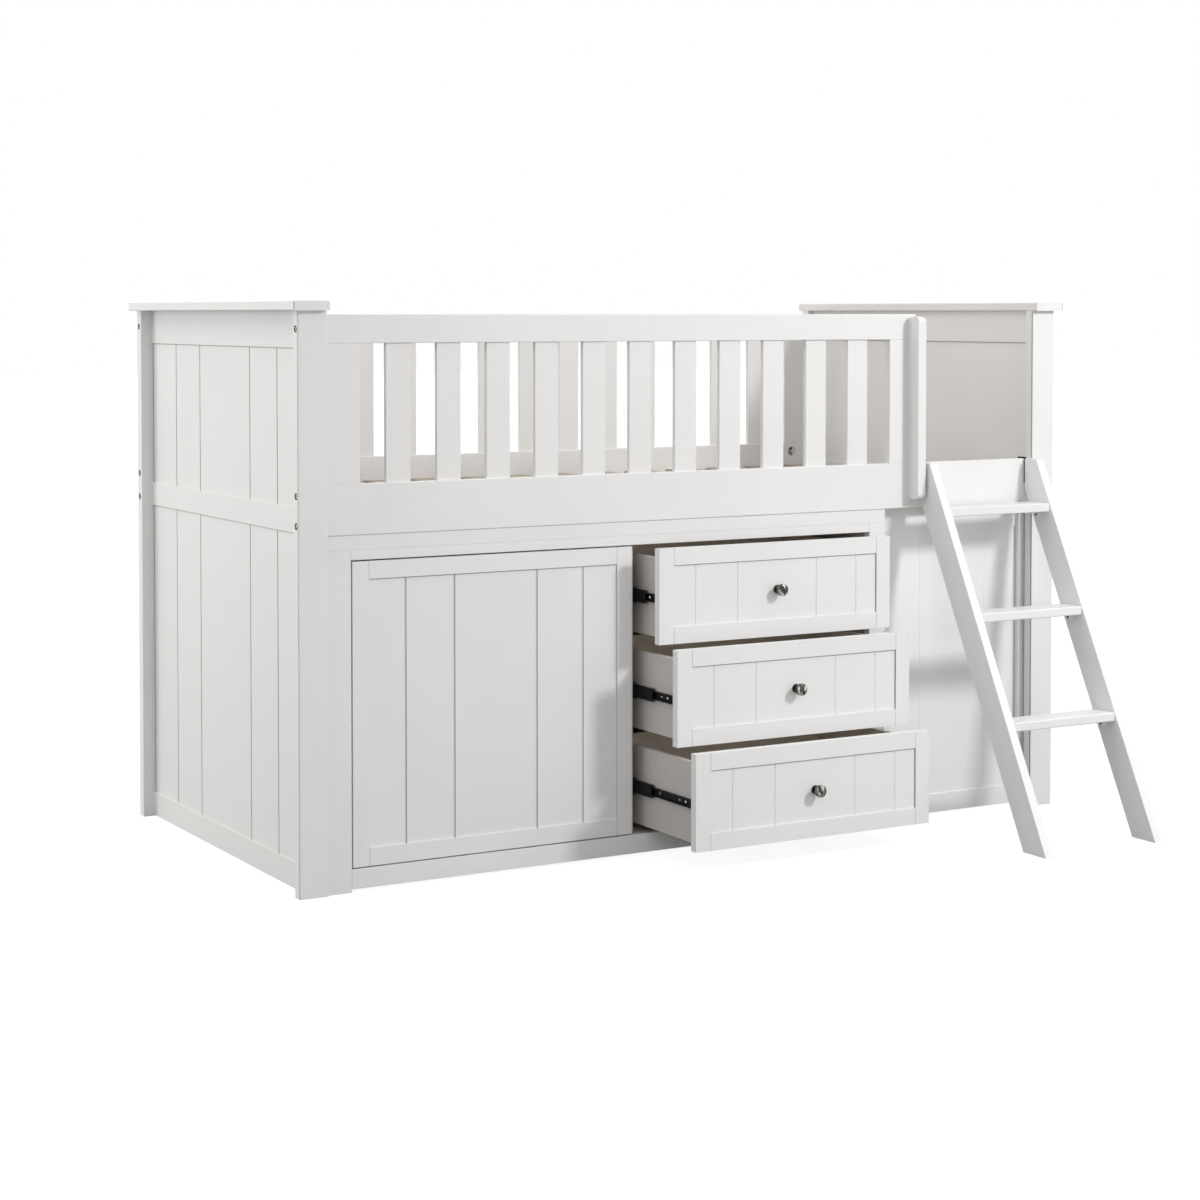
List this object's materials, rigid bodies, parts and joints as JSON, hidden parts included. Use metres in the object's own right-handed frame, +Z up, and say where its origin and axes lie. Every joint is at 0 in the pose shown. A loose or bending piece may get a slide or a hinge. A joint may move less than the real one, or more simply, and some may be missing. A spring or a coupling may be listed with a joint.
{
  "type": "cabin bed",
  "caption": "White mid-height cabin bed with panelled ends, slatted guards, hook-on ladder, and a cabinet below with a cupboard door and drawers on telescopic slides.",
  "frame": {"origin": "on the floor, below the middle of the whole object as it stands at rest, the leaning ladder included", "axes": "+X along the bed towards the ladder end, +Y from the front to the back, +Z up"},
  "size_m": [2.03, 1.4776, 1.239],
  "materials": {
    "frame_paint": "satin white lacquer on solid wood",
    "panel_paint": "satin white lacquer on fibreboard",
    "pine": "planed bare pine",
    "carcass_board": "matt foil on chipboard",
    "black_steel": "black powder coat",
    "zinc_steel": "bright zinc plating",
    "nickel": "brushed nickel plating"
  },
  "bodies": {
    "frame": {"left_front_post": "frame_paint", "left_rear_post": "frame_paint", "right_front_post": "frame_paint", "right_rear_post": "frame_paint", "left_cap": "frame_paint", "right_cap": "frame_paint", "left_end_rails": "frame_paint", "right_end_rails": "frame_paint", "left_end_panels": "panel_paint", "right_end_panels": "panel_paint", "front_side_rail": "frame_paint", "rear_side_rail": "frame_paint", "front_guard_rail": "frame_paint", "rear_guard_rail": "frame_paint", "front_guard_slats": "frame_paint", "rear_guard_slats": "frame_paint", "grab_post": "frame_paint", "slat_ledgers": "pine", "mattress_slats": "pine", "frame_bolts": "zinc_steel", "cross_nuts": "zinc_steel", "cabinet_filler": "frame_paint", "cabinet_face_frame": "frame_paint", "cabinet_left_side": "carcass_board", "cabinet_partition": "carcass_board", "cabinet_right_side": "carcass_board", "cabinet_floor": "carcass_board", "cabinet_top": "carcass_board", "cabinet_back": "carcass_board", "cupboard_shelf": "carcass_board", "shelf_pins": "zinc_steel", "infill_rails": "frame_paint", "infill_panel": "panel_paint", "infill_batten": "frame_paint", "outer_slides": "black_steel", "hinge_arms": "zinc_steel", "magnet_catch": "zinc_steel"},
    "drawer_1": {"drawer_1_front": "frame_paint", "drawer_1_box": "carcass_board", "drawer_1_knob": "nickel", "drawer_1_inner_slides": "black_steel"},
    "middle_slides_1": {"drawer_1_middle_slides": "black_steel"},
    "drawer_2": {"drawer_2_front": "frame_paint", "drawer_2_box": "carcass_board", "drawer_2_knob": "nickel", "drawer_2_inner_slides": "black_steel"},
    "middle_slides_2": {"drawer_2_middle_slides": "black_steel"},
    "drawer_3": {"drawer_3_front": "frame_paint", "drawer_3_box": "carcass_board", "drawer_3_knob": "nickel", "drawer_3_inner_slides": "black_steel"},
    "middle_slides_3": {"drawer_3_middle_slides": "black_steel"},
    "cupboard_door": {"door_frame": "frame_paint", "door_panel": "panel_paint", "hinge_cups": "zinc_steel"},
    "ladder": {"ladder_left_stile": "frame_paint", "ladder_right_stile": "frame_paint", "ladder_treads": "frame_paint", "ladder_blocks": "frame_paint", "ladder_hooks": "black_steel"}
  },
  "joints": [
    {"name": "cupboard_door_hinge", "type": "hinge", "parent": "frame", "child": "cupboard_door", "pos_m": [-0.877, -0.2622, 0.3735], "axis": [0, 0, -1], "range_deg": [0, 95]},
    {"name": "drawer_1_slide", "type": "slide", "parent": "frame", "child": "drawer_1", "axis": [0, -1, 0], "range_m": [-0.084, 0.296]},
    {"name": "drawer_2_slide", "type": "slide", "parent": "frame", "child": "drawer_2", "axis": [0, -1, 0], "range_m": [-0.16, 0.22]},
    {"name": "drawer_3_slide", "type": "slide", "parent": "frame", "child": "drawer_3", "axis": [0, -1, 0], "range_m": [-0.236, 0.144]},
    {"name": "middle_slides_1_slide", "type": "slide", "parent": "frame", "child": "middle_slides_1", "axis": [0, -1, 0], "range_m": [-0.044, 0.15504]},
    {"name": "middle_slides_2_slide", "type": "slide", "parent": "frame", "child": "middle_slides_2", "axis": [0, -1, 0], "range_m": [-0.07501, 0.10314]},
    {"name": "middle_slides_3_slide", "type": "slide", "parent": "frame", "child": "middle_slides_3", "axis": [0, -1, 0], "range_m": [-0.072, 0.04393]},
    {"name": "ladder_lift", "type": "slide", "parent": "frame", "child": "ladder", "axis": [0, 0, 1], "range_m": [0, 0.06]}
  ],
  "couplings": [
    {"joint": "middle_slides_1_slide", "follows": "drawer_1_slide", "ratio": 0.5238},
    {"joint": "middle_slides_2_slide", "follows": "drawer_2_slide", "ratio": 0.4688},
    {"joint": "middle_slides_3_slide", "follows": "drawer_3_slide", "ratio": 0.3051}
  ]
}
